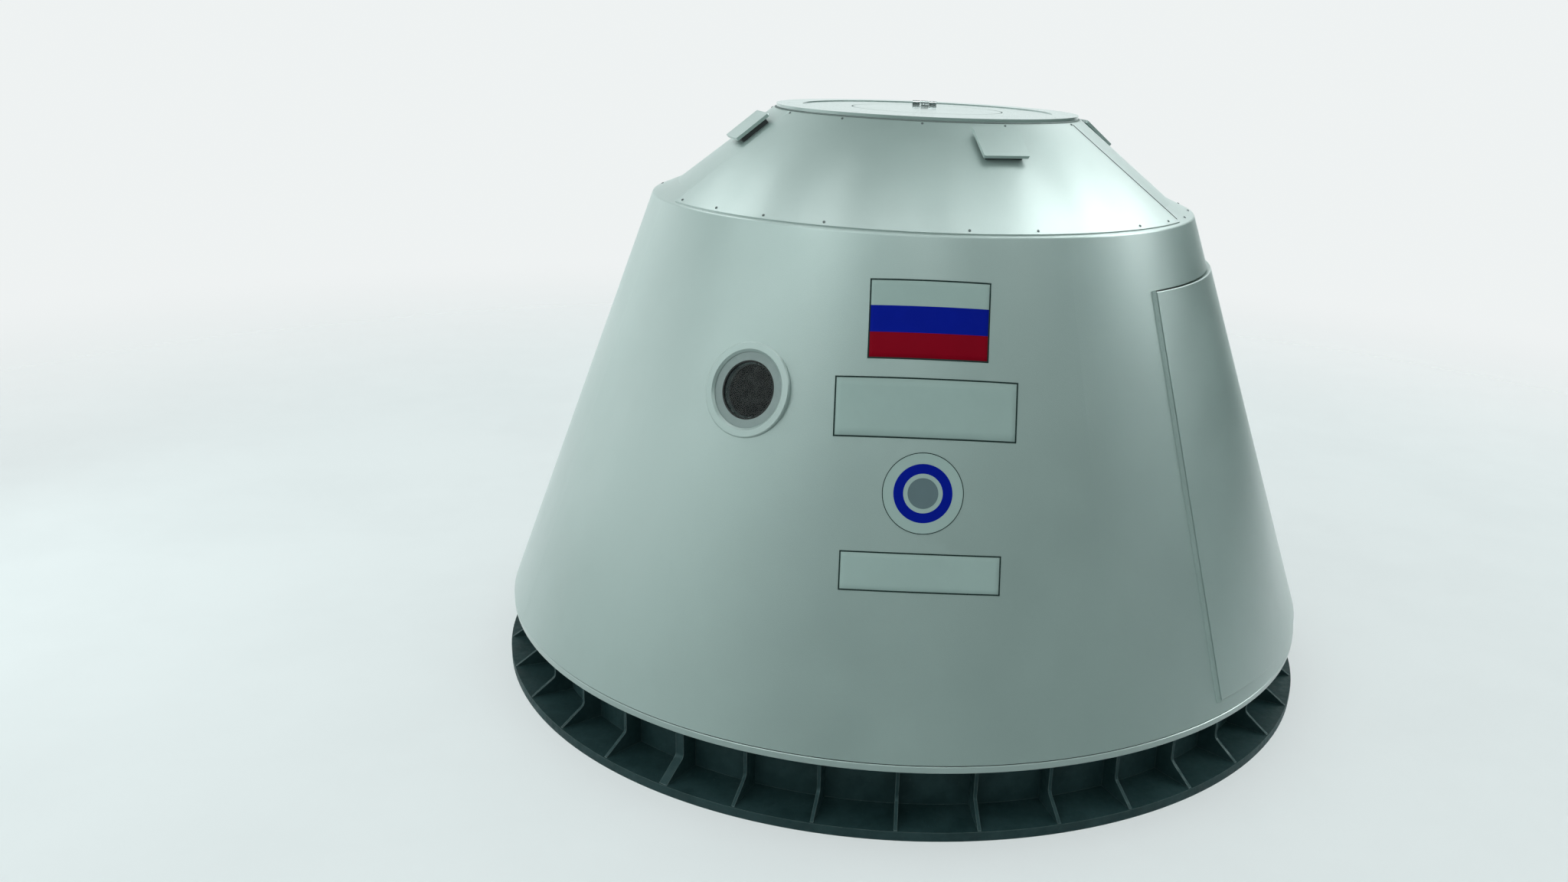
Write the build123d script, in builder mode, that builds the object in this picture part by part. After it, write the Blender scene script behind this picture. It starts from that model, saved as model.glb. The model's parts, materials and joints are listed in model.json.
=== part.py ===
"""Full-size mock-up of a crewed re-entry capsule on a ribbed steel base ring.

Millimetres, +Z up. The origin is on the floor, on the axis of the capsule. The painted markings
face -Y, azimuths are degrees counter-clockwise from +X, seen from above.
"""
import os
from math import atan2, cos, radians, sin, tan

from build123d import *

# Body of the capsule: a truncated cone, measured on its outer face
lower_radius = 2200.0
shoulder_radius = 1420.0
body_height = 2133.0
wall_thickness = 50.0

# Base ring that the capsule stands on, set in from the capsule's lower edge
base_height = 318.0
base_wall_inset = 190.0
base_wall_thickness = 15.0
base_plate_thickness = 45.0
base_plate_edge = 6.0
base_plate_ledge = 95.0
base_flange_thickness = 15.0
base_flange_edge = 10.0
base_flange_ledge = 75.0

# Gusset ribs and broad posts of the base ring
rib_count = 38
rib_thickness = 16.0
rib_face_inset = 100.0
rib_foot_reach = 124.0
rib_bend_height = 132.0
rib_bend_radius = 30.0
rib_first_azimuth = -91.5
post_width = 45.0
post_places = (0.42, 0.92)

# Lower ring of the capsule, with the groove that shows as a line under the wall
lip_height = 39.0
lip_width = 150.0
lip_groove_height = 6.0
lip_groove_depth = 14.0
lip_edge_chamfer = 3.0

# Cabin floor
deck_thickness = 40.0
deck_wall_gap = 22.0

# Wall panels
panel_count = 4
first_seam_azimuth = -155.0

# Side door: it covers an arc of the wall and stands a little proud of it
door_free_low_azimuth = -48.6
door_free_high_azimuth = -46.5
door_hinge_azimuth = 4.0
door_sill = 58.0
door_height = 1940.0
door_gap = 8.0
door_proud = 18.0
door_inner_setback = 6.0
door_edge_chamfer = 4.0
frame_depth = 30.0
frame_cover = 60.0
frame_stop = 40.0

# Side door hinges
hinge_barrel_radius = 12.0
hinge_barrel_lift = 6.0
hinge_pin_radius = 6.0
hinge_pin_clearance = 0.4
hinge_knuckle = 30.0
hinge_knuckle_gap = 6.0
hinge_plate_width = 70.0
hinge_plate_thickness = 8.0
hinge_plate_gap = 2.0
hinge_web_width = 12.0
hinge_trim = 8.0
hinge_heights = (380.0, 1640.0)

# Grab bar on the inside of the side door
grab_azimuth = -38.0
grab_height = 1000.0
grab_length = 320.0
grab_bar_radius = 12.0
grab_reach = 60.0
grab_bend_radius = 30.0
grab_seat = 3.0

# Round window
porthole_azimuth = -118.0
porthole_height = 1524.0
porthole_hole_radius = 175.0
porthole_frame_depth = 60.0
porthole_recess = 6.0
pane_inset = 42.0
pane_sight_inset = 13.0
pane_thickness = 12.0
pane_setback = 7.0
gasket_width = 8.0
bezel_width = 43.0
bezel_lip = 3.0
bezel_proud = 8.0
bezel_depth = 20.0
bezel_outer_chamfer = 5.0
bezel_inner_chamfer = 10.0

# Shoulder
shoulder_ledge_width = 130.0
shoulder_rise = 55.0
shoulder_skirt = 35.0
shoulder_edge_radius = 16.0

# Roof
roof_run = 488.0
roof_rise = 380.0
roof_thickness = 40.0
roof_seam_azimuths = (-150.0, -29.0, 48.0, 154.0)
seam_chamfer = 3.0

# Front roof panel: its skin runs straight on over the ledge as an apron
apron_edge_inset = 16.0
apron_edge_thickness = 5.0
apron_clearance = 0.3

# Top ring, with the raised land that carries its bolt circle
top_ring_step = 16.0
top_ring_thickness = 18.0
top_land_height = 4.0
top_land_width = 136.0
top_bolt_count = 12
top_bolt_inset = 66.0
top_bolt_radius = 5.5

# Raised covers on the roof
cover_count = 4
cover_first_azimuth = -71.0
cover_slant_height = 444.0
cover_width = 228.0
cover_length = 202.0
cover_thickness = 16.0
cover_corner_radius = 8.0
cover_stand_off = 24.0
cover_overhang = 22.0

# Top hatch
hatch_opening_radius = 395.0
hatch_gap = 7.0
hatch_seat_thickness = 25.0
hatch_seat_stop = 35.0
hatch_seat_cover = 35.0
hatch_axis_reach = 21.0
hatch_axis_lift = 14.0
hatch_barrel_radius = 8.0
hatch_pin_radius = 3.5
hatch_pin_clearance = 0.4
hatch_knuckle = 40.0
hatch_knuckle_gap = 6.0
hatch_strap_thickness = 6.0
hatch_strap_length = 90.0
hatch_strap_neck = 12.0

# Levels and slopes that follow from the sizes
lip_bottom = base_height
wall_bottom = lip_bottom + lip_height
shoulder_z = wall_bottom + body_height
wall_top = shoulder_z - shoulder_skirt
roof_base_z = shoulder_z + shoulder_rise
roof_top_z = roof_base_z + roof_rise
ring_face_z = roof_top_z + top_ring_thickness
top_z = ring_face_z + top_land_height
deck_top = wall_bottom + deck_thickness
wall_angle = atan2(lower_radius - shoulder_radius, body_height)
wall_cut_width = wall_thickness / cos(wall_angle)
roof_angle = atan2(roof_rise, roof_run)
roof_cut_width = roof_thickness / sin(roof_angle)
roof_base_radius = shoulder_radius - shoulder_ledge_width
roof_top_radius = roof_base_radius - roof_run
top_ring_radius = roof_top_radius - top_ring_step
apron_edge_radius = shoulder_radius - apron_edge_inset
apron_foot_z = shoulder_z + apron_edge_inset * shoulder_rise / shoulder_ledge_width + apron_clearance
apron_edge_z = apron_foot_z + apron_edge_thickness
front_roof_angle = atan2(roof_top_z - apron_edge_z, apron_edge_radius - roof_top_radius)


def half_plane(azimuth):
    """Upright plane through the axis: sketch x is the radius, sketch y is the height."""
    a = radians(azimuth)
    return Plane(origin=(0, 0, 0), x_dir=(cos(a), sin(a), 0), z_dir=(sin(a), -cos(a), 0))


def on_wall(along, depth):
    """Radius and height of a point given along the wall and inwards from its outer face."""
    radius = lower_radius - along * sin(wall_angle) - depth * cos(wall_angle)
    height = wall_bottom + along * cos(wall_angle) - depth * sin(wall_angle)
    return (radius, height)


def on_roof(along, depth):
    """Radius and height of a point given up the roof and inwards from its outer face."""
    radius = roof_base_radius - along * cos(roof_angle) - depth * sin(roof_angle)
    height = roof_base_z + along * sin(roof_angle) - depth * cos(roof_angle)
    return (radius, height)


def wall_point(azimuth, along, depth=0.0):
    """Point in space on the wall."""
    a = radians(azimuth)
    radius, height = on_wall(along, depth)
    return Vector(radius * cos(a), radius * sin(a), height)


def wall_normal(azimuth):
    """Outward direction of the wall."""
    a = radians(azimuth)
    return Vector(cos(wall_angle) * cos(a), cos(wall_angle) * sin(a), sin(wall_angle))


def wall_plane(azimuth, along, depth=0.0):
    """Plane on the wall, facing out, with its y axis up the slope."""
    a = radians(azimuth)
    return Plane(
        origin=wall_point(azimuth, along, depth),
        x_dir=(-sin(a), cos(a), 0),
        z_dir=wall_normal(azimuth),
    )


def roof_plane(azimuth, along, on_front=False):
    """Plane on the roof, facing out, with its y axis up the slope."""
    a = radians(azimuth)
    radius, height = on_roof(along, 0)
    slope = roof_angle
    if on_front:
        slope = front_roof_angle
        height = roof_top_z - (radius - roof_top_radius) * tan(slope)
    return Plane(
        origin=(radius * cos(a), radius * sin(a), height),
        x_dir=(-sin(a), cos(a), 0),
        z_dir=(sin(slope) * cos(a), sin(slope) * sin(a), cos(slope)),
    )


def turned(points, start=0.0, sweep=360.0):
    """Solid swept about the axis from an outline given as radius and height."""
    with BuildPart() as body:
        with BuildSketch(half_plane(start)):
            with BuildLine():
                Polyline(*points, close=True)
            make_face()
        revolve(axis=Axis.Z, revolution_arc=sweep)
    return body.part


# Solid shapes of the closed wall and roof, used to trim what sits on them
core_margin = 200.0
core_low = -core_margin
core_high = body_height + core_margin
door_outer_core = turned([
    (0, on_wall(core_low, -door_proud)[1]),
    on_wall(core_low, -door_proud),
    on_wall(core_high, -door_proud),
    (0, on_wall(core_high, -door_proud)[1]),
])
wall_outer_core = turned([
    (0, on_wall(core_low, 0)[1]),
    on_wall(core_low, 0),
    on_wall(core_high, 0),
    (0, on_wall(core_high, 0)[1]),
])
roof_outer_core = turned([
    (0, roof_base_z),
    (roof_base_radius, roof_base_z),
    (roof_top_radius, roof_top_z),
    (0, roof_top_z),
])
front_roof_core = turned([
    (0, apron_edge_z),
    (apron_edge_radius, apron_edge_z),
    (roof_top_radius, roof_top_z),
    (0, roof_top_z),
])

# Base ring: floor plate, drum and upper flange
base_wall_radius = lower_radius - base_wall_inset
base_wall_inner_radius = base_wall_radius - base_wall_thickness
rib_face_radius = lower_radius - rib_face_inset
rib_foot_radius = rib_face_radius + rib_foot_reach
base_flange_z = base_height - base_flange_thickness
with BuildPart() as base_plate:
    with BuildSketch():
        Circle(rib_foot_radius + base_plate_edge)
        Circle(base_wall_inner_radius - base_plate_ledge, mode=Mode.SUBTRACT)
    extrude(amount=base_plate_thickness)

with BuildPart() as base_drum:
    with BuildSketch(Plane.XY.offset(base_plate_thickness)):
        Circle(base_wall_radius)
        Circle(base_wall_inner_radius, mode=Mode.SUBTRACT)
    extrude(amount=base_flange_z - base_plate_thickness)

with BuildPart() as base_flange:
    with BuildSketch(Plane.XY.offset(base_flange_z)):
        Circle(rib_face_radius + base_flange_edge)
        Circle(base_wall_inner_radius - base_flange_ledge, mode=Mode.SUBTRACT)
    extrude(amount=base_flange_thickness)

# Base ring: bent gusset ribs round the drum, two of them broad posts
drum_core = turned([
    (0, 0),
    (base_wall_radius, 0),
    (base_wall_radius, base_height),
    (0, base_height),
])
rib_pitch = 360.0 / rib_count
rib_bend = (rib_face_radius, rib_bend_height)
rib_outline = [
    (base_wall_inner_radius, base_plate_thickness),
    (rib_foot_radius, base_plate_thickness),
    rib_bend,
    (rib_face_radius, base_flange_z),
    (base_wall_inner_radius, base_flange_z),
]


def gusset(width):
    """Upright plate at azimuth 0 from the drum out to the bent front edge."""
    with BuildPart() as plate:
        with BuildSketch(half_plane(0)) as profile:
            with BuildLine():
                Polyline(*rib_outline, close=True)
            make_face()
            fillet(profile.vertices().sort_by_distance(rib_bend)[0], radius=rib_bend_radius)
        extrude(amount=width / 2, both=True)
        add(drum_core, mode=Mode.SUBTRACT)
    return plate.part


rib = gusset(rib_thickness)
post = gusset(post_width)
post_indices = [round(place * rib_count) for place in post_places]
posts = []
with BuildPart() as base_ribs:
    for index in range(rib_count):
        azimuth = rib_first_azimuth + index * rib_pitch
        if index in post_indices:
            posts.append(post.rotate(Axis.Z, azimuth))
        else:
            add(rib.rotate(Axis.Z, azimuth))

# Lower ring of the capsule
groove_bottom = wall_bottom - lip_groove_height
lip_corners = [(lower_radius, lip_bottom), (lower_radius, groove_bottom)]
with BuildPart() as lip_ring:
    with BuildSketch(half_plane(0)) as profile:
        with BuildLine():
            Polyline(
                (lower_radius - lip_width, lip_bottom),
                *lip_corners,
                (lower_radius - lip_groove_depth, groove_bottom),
                (lower_radius - lip_groove_depth, wall_bottom),
                (lower_radius - lip_width, wall_bottom),
                close=True,
            )
        make_face()
        for corner in lip_corners:
            chamfer(profile.vertices().sort_by_distance(corner)[0], length=lip_edge_chamfer)
    revolve(axis=Axis.Z)

# Cabin floor
deck_radius = lower_radius - wall_cut_width - deck_wall_gap
with BuildPart() as floor_deck:
    with BuildSketch(Plane.XY.offset(wall_bottom)):
        Circle(deck_radius)
    extrude(amount=deck_thickness)

# Wall panels
wall_top_radius = shoulder_radius + shoulder_skirt * tan(wall_angle)
wall_outline = [
    (lower_radius, wall_bottom),
    (wall_top_radius, wall_top),
    (wall_top_radius - wall_cut_width, wall_top),
    (lower_radius - wall_cut_width, wall_bottom),
]
panel_arc = 360.0 / panel_count
panel_starts = [first_seam_azimuth + index * panel_arc for index in range(panel_count)]
porthole_plane = wall_plane(porthole_azimuth, porthole_height)
door_top = door_sill + door_height


doorway_sides = [
    (door_free_low_azimuth, door_free_high_azimuth, 1),
    (door_hinge_azimuth, door_hinge_azimuth, -1),
]


def side_planes(inset, lift=0.0, lean=0.0):
    """Planes across the wall along both sides of the doorway, facing into it.

    They are moved into the doorway by an inset, out of the wall by a lift, and lean inwards.
    """
    planes = []
    for low_azimuth, high_azimuth, turn in doorway_sides:
        low = wall_point(low_azimuth, door_sill, -lift)
        high = wall_point(high_azimuth, door_top, -lift)
        across = (high - low).cross(wall_normal((low_azimuth + high_azimuth) / 2)) * turn
        plane = Plane(origin=low, x_dir=high - low, z_dir=across).offset(inset)
        planes.append(plane.rotated((turn * lean, 0, 0)))
    return planes


def door_sector(outline, inset):
    """Turned outline between the sides of the doorway, each moved in by an inset."""
    start = door_free_low_azimuth - doorway_margin
    sweep = door_hinge_azimuth + doorway_margin - start
    with BuildPart() as sector:
        add(turned(outline, start, sweep))
        for plane in side_planes(inset):
            split(bisect_by=plane, keep=Keep.TOP)
    return sector.part


doorway_margin = 12.0
opening_outline = [
    on_wall(door_sill, -wall_thickness),
    on_wall(door_top, -wall_thickness),
    on_wall(door_top, wall_thickness * 2),
    on_wall(door_sill, wall_thickness * 2),
]

with BuildPart() as front_wall_panel:
    add(turned(wall_outline, panel_starts[0], panel_arc))
    with BuildSketch(porthole_plane):
        Circle(porthole_hole_radius)
    extrude(amount=wall_thickness * 2, both=True, mode=Mode.SUBTRACT)

with BuildPart() as door_wall_panel:
    add(turned(wall_outline, panel_starts[1], panel_arc))
    add(door_sector(opening_outline, 0), mode=Mode.SUBTRACT)

with BuildPart() as rear_wall_panel:
    add(turned(wall_outline, panel_starts[2], panel_arc))

with BuildPart() as left_wall_panel:
    add(turned(wall_outline, panel_starts[3], panel_arc))

# Door frame behind the opening, standing on the cabin floor
frame_outline = [
    on_wall(0, wall_thickness),
    on_wall(door_top + frame_cover, wall_thickness),
    on_wall(door_top + frame_cover, wall_thickness + frame_depth),
    on_wall(0, wall_thickness + frame_depth),
]
frame_clear_outline = [
    on_wall(door_sill + frame_stop, 0),
    on_wall(door_top - frame_stop, 0),
    on_wall(door_top - frame_stop, wall_thickness + frame_depth * 2),
    on_wall(door_sill + frame_stop, wall_thickness + frame_depth * 2),
]
with BuildPart() as door_frame:
    add(door_sector(frame_outline, -frame_cover))
    add(door_sector(frame_clear_outline, frame_stop), mode=Mode.SUBTRACT)
    with BuildSketch():
        Circle(lower_radius * 2)
    extrude(amount=deck_top, mode=Mode.SUBTRACT)

# Side door
door_inner_depth = wall_thickness - door_inner_setback
door_low = door_sill + door_gap
door_high = door_top - door_gap
door_skin_depth = door_edge_chamfer - door_proud
door_outline = [
    on_wall(door_low, door_inner_depth),
    on_wall(door_low, door_skin_depth),
    on_wall(door_low + door_edge_chamfer, -door_proud),
    on_wall(door_high - door_edge_chamfer, -door_proud),
    on_wall(door_high, door_skin_depth),
    on_wall(door_high, door_inner_depth),
]
with BuildPart() as side_door:
    add(door_sector(door_outline, door_gap))
    for bevel in side_planes(door_gap + door_edge_chamfer, door_proud, 45):
        split(bisect_by=bevel, keep=Keep.TOP)

# Side door hinges: a bracket on the wall and a strap on the door
hinge_axis_offset = door_proud + hinge_barrel_radius + hinge_barrel_lift


def hinge_plane(along):
    """Plane across the door's hinge axis: x runs away from the door, y runs into the wall."""
    a = radians(door_hinge_azimuth)
    return Plane(
        origin=wall_point(door_hinge_azimuth, along, -hinge_axis_offset),
        x_dir=(-sin(a), cos(a), 0),
        z_dir=(-sin(wall_angle) * cos(a), -sin(wall_angle) * sin(a), cos(wall_angle)),
    )


half_middle = hinge_knuckle / 2
outer_start = half_middle + hinge_knuckle_gap
hinge_half_length = outer_start + hinge_knuckle
plate_start = hinge_barrel_radius + hinge_plate_gap
plate_middle = plate_start + hinge_plate_width / 2
plate_depth = hinge_plate_thickness + hinge_trim
brackets = []
straps = []
for along in hinge_heights:
    bracket_y = hinge_axis_offset - hinge_plate_thickness
    with BuildPart() as bracket:
        for low in (-hinge_half_length, outer_start):
            with BuildSketch(hinge_plane(along + low)):
                Circle(hinge_barrel_radius)
                with BuildLine():
                    Polyline(
                        (-hinge_barrel_radius, 0),
                        (hinge_barrel_radius, 0),
                        (plate_start + hinge_web_width, hinge_axis_offset),
                        (plate_start, hinge_axis_offset),
                        close=True,
                    )
                make_face()
            extrude(amount=hinge_knuckle)
        with BuildSketch(hinge_plane(along - hinge_half_length)):
            with Locations((plate_middle, bracket_y + plate_depth / 2)):
                Rectangle(hinge_plate_width, plate_depth)
            Circle(hinge_pin_radius)
        extrude(amount=2 * hinge_half_length)
        add(wall_outer_core, mode=Mode.SUBTRACT)
    brackets.append(bracket.part)

    strap_y = hinge_axis_offset - door_proud - hinge_plate_thickness
    with BuildPart() as strap:
        with BuildSketch(hinge_plane(along - half_middle)):
            Circle(hinge_barrel_radius)
            with BuildLine():
                Polyline(
                    (0, -hinge_barrel_radius),
                    (0, hinge_barrel_radius),
                    (-plate_start - hinge_web_width, strap_y + hinge_plate_thickness),
                    (-plate_start - hinge_web_width, strap_y),
                    close=True,
                )
            make_face()
        extrude(amount=hinge_knuckle)
        with BuildSketch(hinge_plane(along - hinge_half_length)):
            with Locations((-plate_middle, strap_y + plate_depth / 2)):
                Rectangle(hinge_plate_width, plate_depth)
        extrude(amount=2 * hinge_half_length)
        with BuildSketch(hinge_plane(along - hinge_half_length)):
            Circle(hinge_pin_radius + hinge_pin_clearance)
        extrude(amount=2 * hinge_half_length, mode=Mode.SUBTRACT)
        add(door_outer_core, mode=Mode.SUBTRACT)
    straps.append(strap.part)

# Grab bar inside the side door
grab_plane = wall_plane(grab_azimuth, grab_height, door_inner_depth)
bar_plane = Plane(origin=grab_plane.origin, x_dir=grab_plane.y_dir, z_dir=-grab_plane.x_dir)
with BuildPart() as door_grab_bar:
    with BuildLine(bar_plane) as bar_path:
        FilletPolyline(
            (-grab_length / 2, -grab_seat),
            (-grab_length / 2, grab_reach),
            (grab_length / 2, grab_reach),
            (grab_length / 2, -grab_seat),
            radius=grab_bend_radius,
        )
    with BuildSketch(Plane(origin=bar_path.line @ 0, z_dir=bar_path.line % 0)):
        Circle(grab_bar_radius)
    sweep()
    add(side_door.part, mode=Mode.SUBTRACT)

# Round window: frame in the wall, double panes with a seal, and a raised bezel
pane_radius = porthole_hole_radius - pane_inset
frame_front_plane = porthole_plane.offset(-porthole_recess)
frame_back_plane = porthole_plane.offset(-porthole_frame_depth)
pane_plane = porthole_plane.offset(-porthole_recess - pane_setback)
with BuildPart() as porthole_frame:
    with BuildSketch(frame_back_plane):
        Circle(porthole_hole_radius)
        Circle(pane_radius - pane_sight_inset, mode=Mode.SUBTRACT)
    extrude(amount=porthole_frame_depth - porthole_recess)
    with BuildSketch(frame_front_plane):
        Circle(pane_radius)
    extrude(amount=-(pane_setback + pane_thickness), mode=Mode.SUBTRACT)
    with BuildSketch(frame_back_plane):
        Circle(pane_radius)
    extrude(amount=pane_thickness, mode=Mode.SUBTRACT)

with BuildPart() as outer_pane:
    with BuildSketch(pane_plane):
        Circle(pane_radius)
    extrude(amount=-pane_thickness)

with BuildPart() as inner_pane:
    with BuildSketch(frame_back_plane):
        Circle(pane_radius)
    extrude(amount=pane_thickness)

with BuildPart() as porthole_gasket:
    with BuildSketch(pane_plane):
        Circle(pane_radius)
        Circle(pane_radius - gasket_width, mode=Mode.SUBTRACT)
    extrude(amount=pane_setback)

with BuildPart() as porthole_bezel:
    with BuildSketch(porthole_plane.offset(-bezel_depth)):
        Circle(porthole_hole_radius - bezel_lip + bezel_width)
        Circle(porthole_hole_radius - bezel_lip, mode=Mode.SUBTRACT)
    extrude(amount=bezel_depth + bezel_proud)
    bezel_front = porthole_bezel.faces().sort_by(Axis(porthole_plane.origin, porthole_plane.z_dir))[-1]
    inner_edge, outer_edge = bezel_front.edges().sort_by(SortBy.LENGTH)
    chamfer(inner_edge, length=bezel_inner_chamfer)
    chamfer(outer_edge, length=bezel_outer_chamfer)
    add(front_wall_panel.part, mode=Mode.SUBTRACT)
    add(porthole_frame.part, mode=Mode.SUBTRACT)

# Shoulder ring: rounded edge and sloping ledge
with BuildPart() as shoulder_ring:
    with BuildSketch(half_plane(0)) as profile:
        with BuildLine():
            Polyline(
                (wall_top_radius, wall_top),
                (shoulder_radius, shoulder_z),
                (roof_base_radius, roof_base_z),
                (roof_base_radius - roof_cut_width, roof_base_z),
                (roof_base_radius - roof_cut_width, shoulder_z),
                (wall_top_radius - wall_cut_width, wall_top),
                close=True,
            )
        make_face()
        shoulder_corner = (shoulder_radius, shoulder_z)
        fillet(profile.vertices().sort_by_distance(shoulder_corner)[0], radius=shoulder_edge_radius)
    revolve(axis=Axis.Z)

# Roof panels, each with its side edges broken where it meets the next; the front one has the apron
roof_outline = [
    (roof_base_radius, roof_base_z),
    (roof_top_radius, roof_top_z),
    (roof_top_radius - roof_cut_width, roof_top_z),
    (roof_base_radius - roof_cut_width, roof_base_z),
]
front_roof_outline = [
    (roof_base_radius, roof_base_z),
    (apron_edge_radius, apron_foot_z),
    (apron_edge_radius, apron_edge_z),
    (roof_top_radius, roof_top_z),
    (roof_top_radius - roof_cut_width, roof_top_z),
    (roof_base_radius - roof_cut_width, roof_base_z),
]
roof_outlines = (front_roof_outline, roof_outline, roof_outline, roof_outline)
roof_panels = []
for index, start in enumerate(roof_seam_azimuths):
    stop = roof_seam_azimuths[(index + 1) % len(roof_seam_azimuths)]
    with BuildPart() as roof_panel:
        add(turned(roof_outlines[index], start, (stop - start) % 360.0))
        roof_skin = roof_panel.faces().filter_by(GeomType.CONE).sort_by(SortBy.AREA)[-1]
        chamfer(roof_skin.edges().filter_by(GeomType.LINE), length=seam_chamfer)
    roof_panels.append(roof_panel.part)

# Top ring with its bolt circle on a raised land
with BuildPart() as top_ring:
    with BuildSketch(Plane.XY.offset(roof_top_z)):
        Circle(top_ring_radius)
        Circle(hatch_opening_radius, mode=Mode.SUBTRACT)
    extrude(amount=top_ring_thickness)
    with BuildSketch(Plane.XY.offset(ring_face_z)):
        Circle(top_ring_radius)
        Circle(top_ring_radius - top_land_width, mode=Mode.SUBTRACT)
    extrude(amount=top_land_height)
    with BuildSketch(Plane.XY.offset(roof_top_z)):
        with PolarLocations(top_ring_radius - top_bolt_inset, top_bolt_count):
            Circle(top_bolt_radius)
    extrude(amount=top_ring_thickness + top_land_height, mode=Mode.SUBTRACT)

# Raised covers on the roof, each on a block that is set back under it; the first is on the front panel
covers = []
cover_blocks = []
for index in range(cover_count):
    on_front = index == 0
    plane = roof_plane(cover_first_azimuth + index * 360.0 / cover_count, cover_slant_height, on_front)
    with BuildPart() as block:
        with BuildSketch(plane.offset(-cover_stand_off)):
            Rectangle(cover_width - 2 * cover_overhang, cover_length - 2 * cover_overhang)
        extrude(amount=2 * cover_stand_off)
        add(front_roof_core if on_front else roof_outer_core, mode=Mode.SUBTRACT)
    cover_blocks.append(block.part)
    with BuildPart() as cover:
        with BuildSketch(plane.offset(cover_stand_off)):
            RectangleRounded(cover_width, cover_length, cover_corner_radius)
        extrude(amount=cover_thickness)
    covers.append(cover.part)

# Top hatch: seat under the ring, lid in the opening, hinge at the back
hatch_radius = hatch_opening_radius - hatch_gap
hatch_axis_y = hatch_opening_radius + hatch_axis_reach
hatch_axis_z = ring_face_z + hatch_axis_lift
with BuildPart() as hatch_lid:
    with BuildSketch(Plane.XY.offset(roof_top_z)):
        Circle(hatch_radius)
    extrude(amount=top_ring_thickness)

with BuildPart() as hatch_seat:
    with BuildSketch(half_plane(0)):
        with BuildLine():
            Polyline(
                (hatch_opening_radius - hatch_seat_stop, roof_top_z - hatch_seat_thickness),
                (hatch_opening_radius + hatch_seat_cover, roof_top_z - hatch_seat_thickness),
                (hatch_opening_radius + hatch_seat_cover, roof_top_z),
                (hatch_opening_radius, roof_top_z),
                (hatch_opening_radius, roof_top_z - hatch_gap),
                (hatch_opening_radius - hatch_seat_stop, roof_top_z - hatch_gap),
                close=True,
            )
        make_face()
    revolve(axis=Axis.Z)

hatch_axis_plane = Plane(origin=(0, hatch_axis_y, hatch_axis_z), x_dir=(0, 1, 0), z_dir=(1, 0, 0))
hatch_outer_start = hatch_knuckle / 2 + hatch_knuckle_gap
hatch_hinge_reach = hatch_outer_start + hatch_knuckle
with BuildPart() as hatch_hinge_bracket:
    for low in (-hatch_hinge_reach, hatch_outer_start):
        with BuildSketch(hatch_axis_plane.offset(low)):
            Circle(hatch_barrel_radius)
            with Locations((hatch_barrel_radius, -hatch_axis_lift / 2)):
                Rectangle(2 * hatch_barrel_radius, hatch_axis_lift)
        extrude(amount=hatch_knuckle)
    with BuildSketch(hatch_axis_plane.offset(-hatch_hinge_reach)):
        Circle(hatch_pin_radius)
    extrude(amount=2 * hatch_hinge_reach)

lid_edge = hatch_axis_y - hatch_radius
neck_start = lid_edge + hatch_strap_thickness
foot_start = neck_start - hatch_strap_neck / 3
with BuildPart() as hatch_hinge_strap:
    with BuildSketch(hatch_axis_plane.offset(-hatch_knuckle / 2)):
        Circle(hatch_barrel_radius)
        with Locations((-(neck_start + hatch_strap_neck) / 2, 0)):
            Rectangle(neck_start + hatch_strap_neck, hatch_strap_thickness)
        with Locations((-neck_start - hatch_strap_neck / 2, -hatch_axis_lift / 2)):
            Rectangle(hatch_strap_neck, hatch_axis_lift + hatch_strap_thickness)
        with Locations((-foot_start - hatch_strap_length / 2, hatch_strap_thickness / 2 - hatch_axis_lift)):
            Rectangle(hatch_strap_length, hatch_strap_thickness)
        Circle(hatch_pin_radius + hatch_pin_clearance, mode=Mode.SUBTRACT)
    extrude(amount=hatch_knuckle)
    with BuildSketch(Plane.XY.offset(roof_top_z)):
        Circle(top_ring_radius)
    extrude(amount=top_ring_thickness, mode=Mode.SUBTRACT)

pieces = {
    "base_plate": base_plate.part,
    "base_drum": base_drum.part,
    "base_ribs": base_ribs.part,
    "base_flange": base_flange.part,
    "lip_ring": lip_ring.part,
    "floor_deck": floor_deck.part,
    "front_wall_panel": front_wall_panel.part,
    "door_wall_panel": door_wall_panel.part,
    "rear_wall_panel": rear_wall_panel.part,
    "left_wall_panel": left_wall_panel.part,
    "door_frame": door_frame.part,
    "side_door": side_door.part,
    "door_grab_bar": door_grab_bar.part,
    "porthole_frame": porthole_frame.part,
    "porthole_bezel": porthole_bezel.part,
    "porthole_gasket": porthole_gasket.part,
    "outer_pane": outer_pane.part,
    "inner_pane": inner_pane.part,
    "shoulder_ring": shoulder_ring.part,
    "top_ring": top_ring.part,
    "hatch_seat": hatch_seat.part,
    "hatch_lid": hatch_lid.part,
    "hatch_hinge_bracket": hatch_hinge_bracket.part,
    "hatch_hinge_strap": hatch_hinge_strap.part,
}
for index, shape in enumerate(posts):
    pieces[f"base_post_{index + 1}"] = shape
for index in range(len(hinge_heights)):
    pieces[f"door_hinge_bracket_{index + 1}"] = brackets[index]
    pieces[f"door_hinge_strap_{index + 1}"] = straps[index]
for index, panel in enumerate(roof_panels):
    pieces[f"roof_panel_{index + 1}"] = panel
for index in range(cover_count):
    pieces[f"roof_cover_{index + 1}"] = covers[index]
    pieces[f"roof_cover_block_{index + 1}"] = cover_blocks[index]

os.makedirs("parts", exist_ok=True)
for label, shape in pieces.items():
    shape.label = label
    export_step(shape, f"parts/{label}.step")
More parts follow.
